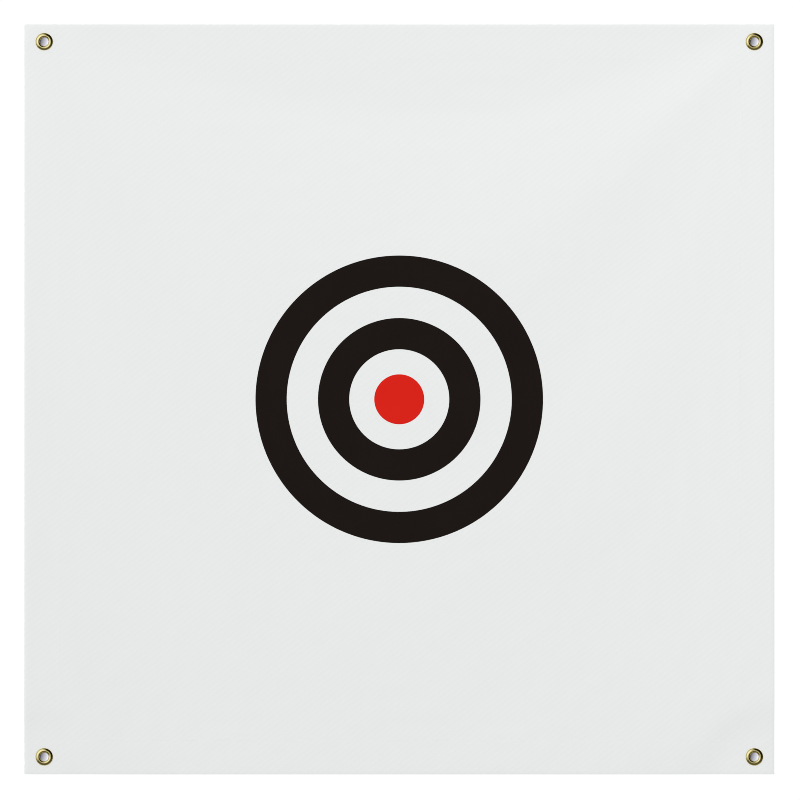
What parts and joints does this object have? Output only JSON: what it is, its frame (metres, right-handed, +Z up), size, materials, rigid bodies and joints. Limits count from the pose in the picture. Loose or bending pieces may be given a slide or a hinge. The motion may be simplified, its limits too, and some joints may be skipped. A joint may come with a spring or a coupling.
{
  "type": "golf target sheet",
  "caption": "Square white cloth sheet with a printed bullseye of black rings round a red centre, hemmed edges and a brass eyelet in each corner to hang it by.",
  "frame": {"origin": "centre of the bullseye, halfway through the two layers of cloth at the hem, which is the centre of the whole sheet", "axes": "+Z up the hanging sheet, +X to the right as seen by the player, -Y out of the printed face towards the player"},
  "size_m": [1.2, 0.005, 1.2],
  "materials": {
    "white_cloth": "matte",
    "white_thread": "satin",
    "black_ink": "matte",
    "red_ink": "matte",
    "brass": "satin"
  },
  "bodies": {
    "root": {"target_sheet": "white_cloth", "top_hem": "white_cloth", "bottom_hem": "white_cloth", "left_hem": "white_cloth", "right_hem": "white_cloth", "top_hem_thread": "white_thread", "bottom_hem_thread": "white_thread", "left_hem_thread": "white_thread", "right_hem_thread": "white_thread", "outer_ring_print": "black_ink", "inner_ring_print": "black_ink", "centre_dot_print": "red_ink", "top_left_eyelet": "brass", "top_right_eyelet": "brass", "bottom_left_eyelet": "brass", "bottom_right_eyelet": "brass", "top_left_washer": "brass", "top_right_washer": "brass", "bottom_left_washer": "brass", "bottom_right_washer": "brass"}
  },
  "joints": []
}
